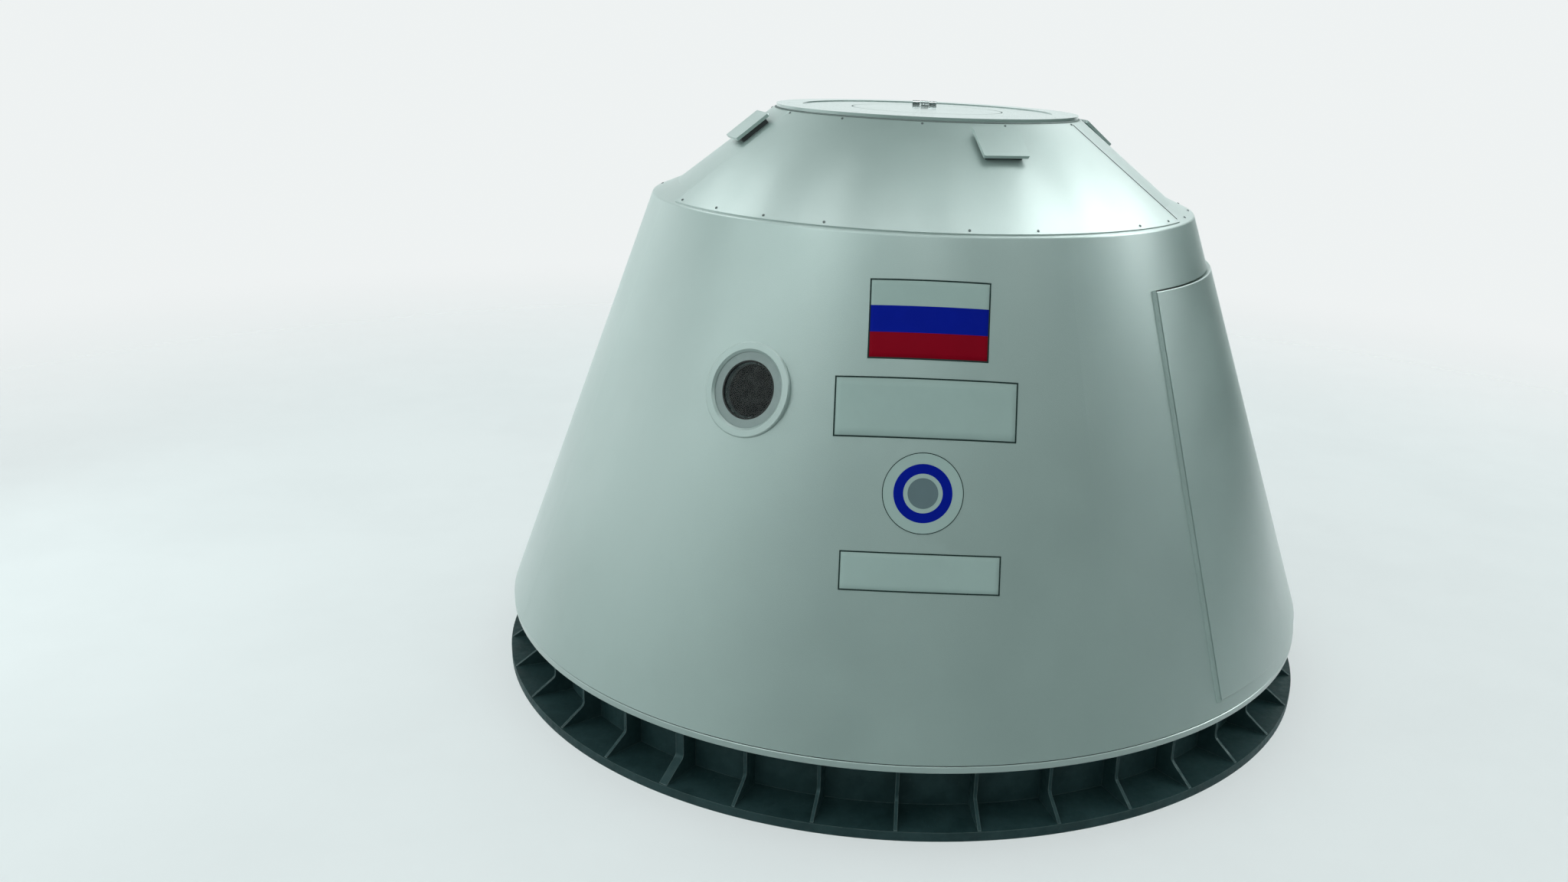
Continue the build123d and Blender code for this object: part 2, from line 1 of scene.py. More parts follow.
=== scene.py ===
"""Looks of the capsule mock-up round its fixed frame: finishes, markings, fasteners and studio.

Metres, +Z up. The markings face -Y, azimuths are degrees counter-clockwise from +X.
"""
import json
from math import acos, atan2, cos, degrees, hypot, pi, radians, sin, sqrt

import bmesh
import bpy
from mathutils import Matrix, Vector


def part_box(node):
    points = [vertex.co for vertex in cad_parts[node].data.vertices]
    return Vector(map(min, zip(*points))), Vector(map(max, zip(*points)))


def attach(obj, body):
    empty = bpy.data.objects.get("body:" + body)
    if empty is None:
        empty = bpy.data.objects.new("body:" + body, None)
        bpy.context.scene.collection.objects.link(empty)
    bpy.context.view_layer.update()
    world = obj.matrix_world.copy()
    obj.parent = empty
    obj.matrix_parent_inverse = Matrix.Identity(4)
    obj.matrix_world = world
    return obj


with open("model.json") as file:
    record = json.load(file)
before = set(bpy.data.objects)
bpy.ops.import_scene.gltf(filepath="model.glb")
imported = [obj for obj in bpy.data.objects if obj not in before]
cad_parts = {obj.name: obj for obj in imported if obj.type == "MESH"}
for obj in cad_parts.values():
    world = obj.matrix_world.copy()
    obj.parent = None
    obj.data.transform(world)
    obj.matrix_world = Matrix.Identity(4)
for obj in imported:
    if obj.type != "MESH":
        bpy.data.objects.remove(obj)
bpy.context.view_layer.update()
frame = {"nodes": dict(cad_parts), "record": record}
scene = bpy.context.scene


# Node trees and materials
class Tree:
    """Short way to build a node tree."""

    def __init__(self, tree):
        self.tree = tree
        tree.nodes.clear()

    def add(self, kind, **settings):
        node = self.tree.nodes.new(kind)
        for key, value in settings.items():
            if key in node.inputs:
                node.inputs[key].default_value = value
            else:
                setattr(node, key, value)
        return node

    def link(self, a, b):
        self.tree.links.new(a, b)

    def fill(self, socket, value):
        """Links a socket or writes a number, colour or direction into it."""
        if isinstance(value, (int, float)):
            socket.default_value = value
        elif isinstance(value, tuple):
            socket.default_value = (*value, 1.0) if len(socket.default_value) == 4 else value
        else:
            self.link(value, socket)

    def ramp(self, fac, low, high, a=0.0, b=1.0):
        """Smooth step from a to b while the input goes from low to high."""
        node = self.add("ShaderNodeMapRange", interpolation_type="SMOOTHSTEP")
        for key, value in (("From Min", low), ("From Max", high), ("To Min", a), ("To Max", b)):
            node.inputs[key].default_value = value
        self.link(fac, node.inputs["Value"])
        return node.outputs["Result"]

    def math(self, op, a, b):
        node = self.add("ShaderNodeMath", operation=op)
        for socket, value in zip(node.inputs, (a, b)):
            self.fill(socket, value)
        return node.outputs[0]

    def sum(self, *values):
        total = values[0]
        for value in values[1:]:
            total = self.math("ADD", total, value)
        return total

    def product(self, *values):
        total = values[0]
        for value in values[1:]:
            total = self.math("MULTIPLY", total, value)
        return total

    def dot(self, a, b):
        node = self.add("ShaderNodeVectorMath", operation="DOT_PRODUCT")
        self.fill(node.inputs[0], a)
        self.fill(node.inputs[1], b)
        return node.outputs["Value"]

    def mix(self, fac, a, b):
        node = self.add("ShaderNodeMix", data_type="RGBA")
        for socket, value in zip((node.inputs[0], node.inputs[6], node.inputs[7]), (fac, a, b)):
            self.fill(socket, value)
        return node.outputs[2]

    def mix_shader(self, fac, a, b):
        node = self.add("ShaderNodeMixShader")
        self.link(fac, node.inputs[0])
        self.link(a, node.inputs[1])
        self.link(b, node.inputs[2])
        return node.outputs[0]

    def seen_by_eye(self):
        """1 for what the camera sees, straight, mirrored or through glass."""
        path = self.add("ShaderNodeLightPath")
        direct = self.math("MAXIMUM", path.outputs["Is Camera Ray"], path.outputs["Is Transmission Ray"])
        return self.math("MAXIMUM", direct, path.outputs["Is Glossy Ray"])


class Material(Tree):
    """Node material round one Principled shader, in the object's own coordinates."""

    def __init__(self, name):
        self.mat = bpy.data.materials.new(name)
        self.mat.use_nodes = True
        super().__init__(self.mat.node_tree)
        self.out = self.add("ShaderNodeOutputMaterial")
        self.bsdf = self.add("ShaderNodeBsdfPrincipled")
        self.link(self.bsdf.outputs["BSDF"], self.out.inputs["Surface"])
        self.coords = self.add("ShaderNodeTexCoord").outputs["Object"]

    def set(self, **values):
        for key, value in values.items():
            self.bsdf.inputs[key.replace("_", " ")].default_value = value

    def noise(self, scale, detail=3.0, rough=0.5, stretch=None):
        node = self.add("ShaderNodeTexNoise", Scale=scale, Detail=detail, Roughness=rough)
        vector = self.coords
        if stretch:
            mapping = self.add("ShaderNodeMapping", Scale=stretch)
            self.link(vector, mapping.inputs["Vector"])
            vector = mapping.outputs["Vector"]
        self.link(vector, node.inputs["Vector"])
        return node.outputs["Fac"]

    def edge_mask(self, radius, low=0.02, high=0.18):
        """White along the edges of a solid, from the angle between its flat and rounded normals."""
        bevel = self.add("ShaderNodeBevel", samples=6, Radius=radius)
        geometry = self.add("ShaderNodeNewGeometry")
        dot = self.dot(bevel.outputs["Normal"], geometry.outputs["Normal"])
        return self.ramp(self.math("SUBTRACT", 1.0, dot), low, high)

    def bump(self, height, strength, distance):
        node = self.add("ShaderNodeBump", Strength=strength, Distance=distance)
        self.link(height, node.inputs["Height"])
        self.link(node.outputs["Normal"], self.bsdf.inputs["Normal"])

    def color(self, socket):
        self.link(socket, self.bsdf.inputs["Base Color"])

    def roughness(self, socket):
        self.link(socket, self.bsdf.inputs["Roughness"])


def shade(color, factor):
    return tuple(c * factor for c in color)


def gloss_paint(name, base, rough=0.34, coat_rough=0.30, waviness=0.0042):
    """Semi-gloss sprayed paint: faint clouds, a little dust and a fine orange peel."""
    m = Material(name)
    col = m.mix(m.ramp(m.noise(1.1, 4.0, 0.55), 0.35, 0.65), shade(base, 0.94), base)
    dusty = tuple(c * f for c, f in zip(base, (0.80, 0.80, 0.76)))
    soil = m.noise(5.0, 6.0, 0.62, stretch=(1.0, 1.0, 0.25))
    m.color(m.mix(m.ramp(soil, 0.50, 0.78, 0.0, 0.10), col, dusty))
    m.roughness(m.ramp(m.noise(3.0, 5.0, 0.6), 0.3, 0.7, rough - 0.04, rough + 0.06))
    m.set(Specular_IOR_Level=0.6, Coat_Weight=0.85, Coat_Roughness=coat_rough)
    peel = m.product(m.noise(420.0, 2.0, 0.5), 0.0012)
    waves = m.product(m.noise(1.6, 1.0, 0.4), waviness)
    m.bump(m.sum(peel, waves), 0.5, 1.0)
    return m.mat


def base_paint():
    """Dark paint of the base ring, darkened further as painted shade for the shadow under the lip, scuffed
    on its faces, with a painted highlight in patches along its edges.
    """
    m = Material("base_paint_mat")
    # Painted shade: all base colours are darker than the paint itself, for the shadow under the lip
    col = m.mix(m.ramp(m.noise(6.0, 5.0, 0.6), 0.3, 0.7), (0.012, 0.034, 0.036), (0.025, 0.057, 0.060))
    scuff = m.ramp(m.noise(38.0, 5.0, 0.65), 0.62, 0.74, 0.0, 0.5)
    col = m.mix(scuff, col, (0.048, 0.082, 0.084))
    # Painted highlight: the edges are lighter in patches, where they catch the light
    patchy_highlight = m.ramp(m.noise(22.0, 4.0, 0.6), 0.28, 0.6, 0.35, 1.0)
    m.color(m.mix(m.product(m.edge_mask(0.006), patchy_highlight), col, (0.125, 0.170, 0.166)))
    m.roughness(m.ramp(m.noise(30.0, 4.0, 0.6), 0.3, 0.7, 0.48, 0.68))
    m.set(Specular_IOR_Level=0.2)
    m.bump(m.noise(180.0, 3.0, 0.6), 0.25, 0.002)
    return m.mat


def plain_paint(name, base, rough=0.5, vary=0.08, grain=260.0):
    m = Material(name)
    m.color(m.mix(m.ramp(m.noise(9.0, 5.0, 0.6), 0.3, 0.7), shade(base, 1 - 2 * vary), base))
    m.roughness(m.ramp(m.noise(24.0, 4.0, 0.6), 0.3, 0.7, rough - 0.06, rough + 0.06))
    m.bump(m.noise(grain, 2.0, 0.5), 0.2, 0.001)
    return m.mat


def metal(name, base, rough=0.32, stretch=(1.0, 60.0, 60.0)):
    """Brushed metal, its lines along one axis."""
    m = Material(name)
    lines = m.noise(9.0, 4.0, 0.6, stretch=stretch)
    m.color(m.mix(m.ramp(lines, 0.3, 0.7), shade(base, 0.78), base))
    m.roughness(m.ramp(lines, 0.3, 0.7, rough - 0.08, rough + 0.10))
    m.set(Metallic=1.0)
    m.bump(lines, 0.08, 0.001)
    return m.mat


def rubber():
    m = Material("seal_mat")
    m.color(m.mix(m.ramp(m.noise(60.0, 4.0, 0.6), 0.3, 0.7), (0.010, 0.011, 0.011), (0.022, 0.023, 0.023)))
    m.roughness(m.ramp(m.noise(80.0, 3.0, 0.5), 0.3, 0.7, 0.55, 0.75))
    m.set(Specular_IOR_Level=0.2)
    m.bump(m.noise(500.0, 2.0, 0.5), 0.3, 0.0006)
    return m.mat


def glass():
    m = Material("pane_mat")
    # Blotchy tint: painted reflection, for the blotchy reflections in the pane
    m.color(m.mix(m.ramp(m.noise(14.0, 4.0, 0.6), 0.35, 0.7), (0.34, 0.42, 0.42), (0.50, 0.58, 0.59)))
    m.roughness(m.ramp(m.noise(9.0, 5.0, 0.65), 0.35, 0.75, 0.02, 0.10))
    m.set(Transmission_Weight=1.0, IOR=1.18)
    return m.mat


def deck_paint():
    m = Material("deck_mat")
    m.color(m.mix(m.ramp(m.noise(3.0, 6.0, 0.6), 0.3, 0.7), (0.095, 0.105, 0.110), (0.135, 0.145, 0.150)))
    m.roughness(m.ramp(m.noise(15.0, 4.0, 0.6), 0.3, 0.7, 0.55, 0.72))
    m.bump(m.noise(300.0, 2.0, 0.5), 0.35, 0.0012)
    return m.mat


def film(name, color, rough=0.60, vary=0.06):
    """Matt printed film."""
    m = Material(name)
    m.color(m.mix(m.ramp(m.noise(7.0, 5.0, 0.6), 0.35, 0.7), shade(color, 1 - vary), color))
    m.roughness(m.ramp(m.noise(18.0, 4.0, 0.6), 0.3, 0.7, rough - 0.05, rough + 0.08))
    m.set(Specular_IOR_Level=0.06)
    m.bump(m.noise(420.0, 2.0, 0.5), 0.3, 0.0004)
    return m.mat


WHITE = (0.355, 0.450, 0.426)
shell_paint = gloss_paint("shell_paint_mat", WHITE)
slot_materials = {
    "shell_paint": shell_paint,
    "base_paint": base_paint(),
    "deck": deck_paint(),
    "frame_metal": plain_paint("frame_metal_mat", (0.115, 0.145, 0.142), 0.38, 0.10),
    "bare_metal": metal("bare_metal_mat", (0.50, 0.53, 0.53)),
    "seal": rubber(),
    "pane": glass(),
    # Near-black spacer blocks under the roof covers: painted shade for the gap under each cover
    "cover_block": plain_paint("cover_block_shade_mat", (0.020, 0.024, 0.024), 0.6, 0.10),
}
top_paint = gloss_paint("top_paint_mat", WHITE, 0.14, 0.07, 0.001)
node_materials = {
    "top_ring": top_paint,
    "hatch_lid": top_paint,
    # Grey of the porthole frame, darkened as painted shade for the shade of the bezel lip over it
    "porthole_frame": plain_paint("window_frame_mat", (0.245, 0.300, 0.292), 0.42, 0.07),
}
for part in frame["record"]["subparts"]:
    node = frame["nodes"][part["node"]]
    node.data.materials.clear()
    node.data.materials.append(node_materials.get(part["node"], slot_materials[part["material_slot"]]))
    for polygon in node.data.polygons:
        polygon.material_index = 0

steel_screw = metal("steel_screw_mat", (0.30, 0.32, 0.32), 0.35)
dark_screw = metal("dark_screw_mat", (0.085, 0.095, 0.095), 0.42)
white_film = film("white_film_mat", shade(WHITE, 1.30), 0.55, 0.03)
blue_film = film("blue_film_mat", (0.0004, 0.011, 0.34))
red_film = film("red_film_mat", (0.300, 0.0004, 0.012))
black_film = film("black_film_mat", (0.022, 0.042, 0.038))
# Dark grey for the bead at the foot of the top ring: painted shade
joint_shade_grey = plain_paint("joint_shade_grey_mat", (0.090, 0.120, 0.112), 0.62, 0.05, 500.0)
door_seal_grey = plain_paint("door_seal_mat", shade(WHITE, 0.85), 0.62, 0.05, 500.0)
grey_film = film("grey_film_mat", (0.170, 0.235, 0.255))


# Shape of the solids, read from the frame
def levels(node):
    """Heights of a node's corners, each with the largest radius there, from the lowest up."""
    found = {}
    for vertex in frame["nodes"][node].data.vertices:
        z = round(vertex.co.z, 4)
        found[z] = max(found.get(z, 0.0), hypot(vertex.co.x, vertex.co.y))
    return sorted(found.items())


def slope_matrix(az, r, z, angle):
    """Place on a surface that leans inwards: x to the right, y up the slope, z outwards."""
    a = radians(az)
    n = Vector((cos(angle) * cos(a), cos(angle) * sin(a), sin(angle)))
    x = Vector((-sin(a), cos(a), 0.0))
    y = n.cross(x)
    return Matrix((
        (x.x, y.x, n.x, r * cos(a)),
        (x.y, y.y, n.y, r * sin(a)),
        (x.z, y.z, n.z, z),
        (0, 0, 0, 1),
    ))


class Cone:
    """Outer face of a turned part, from the radius and height of its lower and upper edge."""

    def __init__(self, low, high):
        self.low_r, self.low_z = low
        self.high_r, self.high_z = high
        self.angle = atan2(self.low_r - self.high_r, self.high_z - self.low_z)

    def height(self, r):
        return self.low_z + (self.low_r - r) * (self.high_z - self.low_z) / (self.low_r - self.high_r)

    def radius(self, z):
        return self.low_r - (z - self.low_z) * (self.low_r - self.high_r) / (self.high_z - self.low_z)

    def place(self, az, r):
        return slope_matrix(az, r, self.height(r), self.angle)


SHOULDER_R = 1.420
LEDGE_RISE = 0.055
LEDGE_WIDTH = 0.130
lip_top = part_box("lip_ring")[1]
ledge_top_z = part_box("shoulder_ring")[1].z
shoulder_z = ledge_top_z - LEDGE_RISE
wall = Cone((lip_top.x, lip_top.z), (SHOULDER_R, shoulder_z))
ledge = Cone((SHOULDER_R, shoulder_z), (SHOULDER_R - LEDGE_WIDTH, ledge_top_z))
roof_top_z, roof_top_r = levels("roof_panel_1")[-1]
apron_r = max(r for z, r in levels("roof_panel_1"))
apron_z = max(z for z, r in levels("roof_panel_1") if r > apron_r - 1e-4)
front_roof = Cone((apron_r, apron_z), (roof_top_r, roof_top_z))
rear_roof = Cone((SHOULDER_R - LEDGE_WIDTH, ledge_top_z), (roof_top_r, roof_top_z))
front_vertices = frame["nodes"]["roof_panel_1"].data.vertices
front_stop = max(degrees(atan2(v.co.y, v.co.x)) for v in front_vertices)


def add_piece(name, bm, mats, body="capsule", smooth=False):
    mesh = bpy.data.meshes.new(name)
    bm.normal_update()
    bm.to_mesh(mesh)
    bm.free()
    for m in mats:
        mesh.materials.append(m)
    for polygon in mesh.polygons:
        polygon.use_smooth = smooth
    obj = bpy.data.objects.new(name, mesh)
    scene.collection.objects.link(obj)
    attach(obj, body)
    return obj


# Markings: films bent onto the wall, all on one line up the front
MARKING_AZ = -90.0
EMBLEM_Z = 1.447
FILM_THICKNESS = 0.0010
PRINT_THICKNESS = 0.0004
EMBLEM_PRINT = 0.0003


def wall_sheet_point(u, v, z_mid, lift):
    """Point of a flat sheet bent onto the cone: u to the right, v up, from a middle on the wall."""
    slant = wall.radius(z_mid) / sin(wall.angle)
    length = sqrt(u * u + (slant - v) ** 2)
    turn = atan2(u, slant - v) / sin(wall.angle)
    r = length * sin(wall.angle)
    a = radians(MARKING_AZ) + turn
    n = Vector((cos(wall.angle) * cos(a), cos(wall.angle) * sin(a), sin(wall.angle)))
    return Vector((r * cos(a), r * sin(a), wall.height(r))) + n * lift


def sheet(name, u_range, v_range, z_mid, lift, thick, mats, index=None, cols=24, rows=6):
    """Thin rectangular film on the wall, with its edges turned down onto the paint."""
    bm = bmesh.new()
    grid = []
    for j in range(rows + 1):
        v = v_range[0] + (v_range[1] - v_range[0]) * j / rows
        steps = (u_range[0] + (u_range[1] - u_range[0]) * i / cols for i in range(cols + 1))
        grid.append([bm.verts.new(wall_sheet_point(u, v, z_mid, lift + thick)) for u in steps])
    for j in range(rows):
        for i in range(cols):
            face = bm.faces.new((grid[j][i], grid[j][i + 1], grid[j + 1][i + 1], grid[j + 1][i]))
            face.material_index = index(j, rows) if index else 0
    made = bmesh.ops.extrude_edge_only(bm, edges=[e for e in bm.edges if e.is_boundary])
    for vert in (g for g in made["geom"] if isinstance(g, bmesh.types.BMVert)):
        a = atan2(vert.co.y, vert.co.x)
        n = Vector((cos(wall.angle) * cos(a), cos(wall.angle) * sin(a), sin(wall.angle)))
        vert.co -= n * (thick + lift)
    return add_piece(name, bm, mats, smooth=True)


def border(name, half_w, half_h, z_mid, width):
    """Thin printed border as four strips."""
    bars = (
        ((-half_w, half_w), (half_h - width, half_h)),
        ((-half_w, half_w), (-half_h, -half_h + width)),
        ((-half_w, -half_w + width), (-half_h + width, half_h - width)),
        ((half_w - width, half_w), (-half_h + width, half_h - width)),
    )
    for k, (us, vs) in enumerate(bars):
        cols, rows = (24, 1) if k < 2 else (1, 8)
        sheet(f"{name}_{k + 1}", us, vs, z_mid, FILM_THICKNESS, PRINT_THICKNESS, [black_film],
              cols=cols, rows=rows)


def framed(name, half_w, z_low, z_high, mats, border_width, border_name, **stripes):
    """Rectangular film between two heights, with its border."""
    z_mid = (z_low + z_high) / 2
    half_h = (z_high - z_low) / 2 / cos(wall.angle)
    sheet(name, (-half_w, half_w), (-half_h, half_h), z_mid, 0.0, FILM_THICKNESS, mats, **stripes)
    border(border_name, half_w, half_h, z_mid, border_width)


def disc_band(name, r0, r1, lift, thick, mat, segments=96):
    """Flat ring or disc of film bent onto the wall."""
    bm = bmesh.new()
    rings = []
    steps = max(1, int((r1 - r0) / 0.03) + 1)
    for k in range(steps + 1):
        r = r0 + (r1 - r0) * k / steps
        turns = [2 * pi * i / segments for i in range(segments)] if r > 1e-6 else [0.0]
        points = (wall_sheet_point(r * cos(t), r * sin(t), EMBLEM_Z, lift + thick) for t in turns)
        rings.append([bm.verts.new(p) for p in points])
    for a, b in zip(rings, rings[1:]):
        for i in range(segments):
            j = (i + 1) % segments
            bm.faces.new((a[0], b[i], b[j]) if len(a) == 1 else (a[i], b[i], b[j], a[j]))
    return add_piece(name, bm, [mat], smooth=True)


framed("flag_film", 0.2625, 1.986, 2.311, [red_film, blue_film, white_film], 0.0065, "flag_border",
       index=lambda j, n: j * 3 // n, rows=12)
framed("upper_plate", 0.400, 1.666, 1.913, [white_film], 0.0065, "upper_plate_border")
framed("lower_plate", 0.350, 1.046, 1.206, [white_film], 0.0060, "lower_plate_border")

disc_band("emblem_field", 0.0, 0.176, 0.0, FILM_THICKNESS, white_film)
disc_band("emblem_outline", 0.1725, 0.176, FILM_THICKNESS, EMBLEM_PRINT, black_film)
disc_band("emblem_band", 0.085, 0.127, FILM_THICKNESS, EMBLEM_PRINT, blue_film)
disc_band("emblem_middle", 0.0, 0.066, FILM_THICKNESS, EMBLEM_PRINT, grey_film)


# Fasteners
SHOULDER_SCREW_AZ = (-147.8, -135.2, -122.8, -110.0, -83.4, -70.4, -45.4, -34.0)
SHOULDER_SCREW_INSET = 0.016
ROOF_SCREW_AZ = (-148.0, -121.5, -93.5, -65.0, -30.3)
ROOF_SCREW_R = 0.812
HINGE_AZ = 4.0
HINGE_HEIGHTS = (0.380, 1.640)
BRACKET_FACE, STRAP_FACE = 0.008, 0.026
HATCH_STRAP_THICKNESS = 0.006


def screw_mesh(head_r, head_h, segments=20):
    """Pan head with a rounded rim and a drive recess, its foot at z = 0."""
    bm = bmesh.new()
    profile = ((1.0, 0.0), (1.0, 0.45), (0.93, 0.78), (0.74, 0.95), (0.44, 1.0), (0.40, 0.55), (0.0, 0.5))
    rows = []
    for r, z in profile:
        turns = [2 * pi * i / segments for i in range(segments)] if r else [0.0]
        rows.append([bm.verts.new((head_r * r * cos(t), head_r * r * sin(t), head_h * z)) for t in turns])
    for a, b in zip(rows, rows[1:]):
        for i in range(segments):
            j = (i + 1) % segments
            bm.faces.new((a[i], a[j], b[0]) if len(b) == 1 else (a[i], a[j], b[j], b[i]))
    mesh = bpy.data.meshes.new("screw")
    bm.to_mesh(mesh)
    bm.free()
    return mesh


def place_all(name, source, matrices, mat, body="capsule"):
    """Joins copies of a small mesh into one piece."""
    bm = bmesh.new()
    for matrix in matrices:
        first = len(bm.verts)
        bm.from_mesh(source)
        bm.verts.ensure_lookup_table()
        bmesh.ops.transform(bm, matrix=matrix, verts=bm.verts[first:])
    return add_piece(name, bm, [mat], body)


def shoulder_screws():
    """Screws along the lower edge of the front roof panel and on round the shoulder."""
    r = apron_r - SHOULDER_SCREW_INSET
    places = [front_roof.place(az, r) for az in SHOULDER_SCREW_AZ]
    places += [ledge.place(-22.0 + 12.6 * k, r) for k in range(17)]
    place_all("shoulder_screws", screw_mesh(0.0065, 0.0035), places, dark_screw)


def roof_screws():
    """Screws along the upper edge of the roof panels."""
    places = [front_roof.place(az, ROOF_SCREW_R) for az in ROOF_SCREW_AZ]
    places += [rear_roof.place(-2.0 + 30.0 * k, ROOF_SCREW_R) for k in range(7)]
    place_all("roof_screws", screw_mesh(0.0060, 0.0030), places, dark_screw)


def hinge_screws(number, along):
    """Six screws in each plate of a side door hinge, on the wall and on the door."""
    hinge = wall.place(HINGE_AZ, wall.low_r - along * sin(wall.angle))
    for side, body, face in ((1, "capsule", BRACKET_FACE), (-1, "door", STRAP_FACE)):
        spots = [(side * x, y, face) for x in (0.031, 0.067) for y in (-0.035, 0.0, 0.035)]
        places = [hinge @ Matrix.Translation(spot) for spot in spots]
        place_all(f"{body}_hinge_screws_{number}", screw_mesh(0.0055, 0.0032), places, steel_screw, body)


def hatch_strap_screws():
    """Four screws that hold the hinge strap on the hatch lid."""
    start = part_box("hatch_hinge_strap")[0].y
    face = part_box("hatch_lid")[1].z + HATCH_STRAP_THICKNESS
    spots = [(x, start + y, face) for x in (-0.010, 0.010) for y in (0.018, 0.055)]
    places = [Matrix.Translation(spot) for spot in spots]
    place_all("hatch_strap_screws", screw_mesh(0.0045, 0.0028), places, steel_screw, "hatch")


shoulder_screws()
roof_screws()
for number, along in enumerate(HINGE_HEIGHTS, 1):
    hinge_screws(number, along)
hatch_strap_screws()


# Seals, and dark beads and strips that paint shade
GROOVE_SHADE_R = 2.1965
SEAM_SHADE_LOW_R, SEAM_SHADE_STEP = 1.390, 0.024
DOOR_FREE_LOW_AZ, DOOR_FREE_HIGH_AZ = -48.6, -46.5
DOOR_SILL, DOOR_TOP = 0.058, 1.998
DOOR_MIDDLE_HEIGHT = 1.42
DOOR_SEAL_SLICES, SILL_SEAL_SLICES = 24, 40


def strip(name, rows, mat, closed=False):
    """Strip of one section carried along a line, given as rows of corners."""
    bm = bmesh.new()
    made = [[bm.verts.new(point) for point in row] for row in rows]
    pairs = list(zip(made, made[1:])) + ([(made[-1], made[0])] if closed else [])
    for a, b in pairs:
        for i in range(len(a)):
            j = (i + 1) % len(a)
            bm.faces.new((a[i], a[j], b[j], b[i]))
    if not closed:
        bm.faces.new(made[0])
        bm.faces.new(made[-1])
    bmesh.ops.recalc_face_normals(bm, faces=bm.faces[:])
    return add_piece(name, bm, [mat])


def ring_strip(name, section, count, mat):
    """Strip all the way round the axis, from the radius and height of its corners."""
    turns = [2 * pi * i / count for i in range(count)]
    rows = [[Vector((r * cos(t), r * sin(t), z)) for r, z in section] for t in turns]
    strip(name, rows, mat, closed=True)


def groove_shade_bead():
    """Dark bead in the groove under the wall: painted shade for the shaded groove."""
    r, z = GROOVE_SHADE_R, lip_top.z - 0.0003
    section = ((r - 0.010, z - 0.0052), (r - 0.001, z - 0.0052), (r, z - 0.0026), (r - 0.001, z))
    ring_strip("groove_shade_bead", section, 240, slot_materials["seal"])


def top_joint_shade_bead():
    """Dark grey bead where the top ring stands on the roof: painted shade along the foot of the ring."""
    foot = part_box("top_ring")[1].x
    section = ((0.0003, 0.0003), (0.0080, 0.0003), (0.0065, 0.0050), (0.0003, 0.0075))
    ring_strip("top_joint_shade_bead", [(foot + r, roof_top_z + z) for r, z in section], 180, joint_shade_grey)


def seam_shade_strip():
    """Dark strip along the right edge of the front roof panel: painted shade at the foot of the step
    there.
    """
    section = ((-0.0045, 0.0002), (-0.0002, 0.0002), (-0.0002, 0.0016), (-0.0045, 0.0016))
    rows = []
    for k in range(25):
        edge = front_roof.place(front_stop, SEAM_SHADE_LOW_R - SEAM_SHADE_STEP * k)
        rows.append([edge @ Vector((x, 0.0, z)) for x, z in section])
    strip("seam_shade_strip", rows, slot_materials["seal"])


def wall_point(az, along, depth=0.0):
    """Point at a length up the slope of the wall and a depth under it."""
    r = wall.low_r - along * sin(wall.angle) - depth * cos(wall.angle)
    z = wall.low_z + along * cos(wall.angle) - depth * sin(wall.angle)
    return Vector((r * cos(radians(az)), r * sin(radians(az)), z))


class DoorwaySide:
    """Flat free side of the doorway, between its lower and upper corner on the wall."""

    def __init__(self, low_az, high_az):
        self.low = wall_point(low_az, DOOR_SILL)
        self.middle = (low_az + high_az) / 2
        outward = wall.place(self.middle, wall.radius(DOOR_MIDDLE_HEIGHT)).col[2].xyz
        self.normal = (wall_point(high_az, DOOR_TOP) - self.low).cross(outward).normalized()

    def point(self, along, inset, depth):
        """Point under the wall's surface that lies an inset into the doorway from its side."""
        level = wall_point(0.0, along, depth)
        wanted = (self.low.dot(self.normal) + inset - level.z * self.normal.z) / level.x
        turn = degrees(atan2(self.normal.y, self.normal.x))
        swing = degrees(acos(wanted / hypot(self.normal.x, self.normal.y)))
        az = min((turn + swing, turn - swing), key=lambda found: abs(found - self.middle))
        return wall_point(az, along, depth)


def side_door_seal():
    """Painted lip on the wall along the free side of the door, with a foot in the gap.

    Corners of its section: inset into the doorway, and depth under the wall.
    """
    section = (
        (0.0002, 0.0120), (0.0058, 0.0120), (0.0058, -0.0136), (0.0040, -0.0148),
        (-0.0030, -0.0118), (-0.0090, -0.0062), (-0.0120, -0.0003), (0.0002, -0.0003),
    )
    side = DoorwaySide(DOOR_FREE_LOW_AZ, DOOR_FREE_HIGH_AZ)
    start, length = DOOR_SILL + 0.001, DOOR_TOP - DOOR_SILL - 0.002
    steps = [start + length * k / DOOR_SEAL_SLICES for k in range(DOOR_SEAL_SLICES + 1)]
    rows = [[side.point(along, inset, depth) for inset, depth in section] for along in steps]
    strip("door_seal_side", rows, shell_paint)


def sill_seal():
    """Flat grey strip in the gap under the door."""
    section = ((0.0002, 0.0015), (0.0058, 0.0015), (0.0058, 0.0150), (0.0002, 0.0150))
    start, stop = DOOR_FREE_LOW_AZ + 0.35, HINGE_AZ - 0.30
    steps = [start + (stop - start) * k / SILL_SEAL_SLICES for k in range(SILL_SEAL_SLICES + 1)]
    rows = [[wall_point(az, DOOR_SILL + inset, depth) for inset, depth in section] for az in steps]
    strip("door_seal_sill", rows, door_seal_grey)


groove_shade_bead()
top_joint_shade_bead()
seam_shade_strip()
side_door_seal()
sill_seal()


# Floor, lamps, world and camera
COOL = (0.88, 1.0, 0.985)
FLOOR_GLOW = 0.46
FLOOR_FADE = (5.0, 13.0)
FLOOR_REACH = 60.0
EVEN_FILL, FILL_FROM_LEFT = 0.41, 0.36
WINDOW_GLOW, BACK_GLOW = 0.72, 0.9
SOFT_BOX_CORE, SOFT_BOX_EDGE = radians(6.0), radians(20.0)
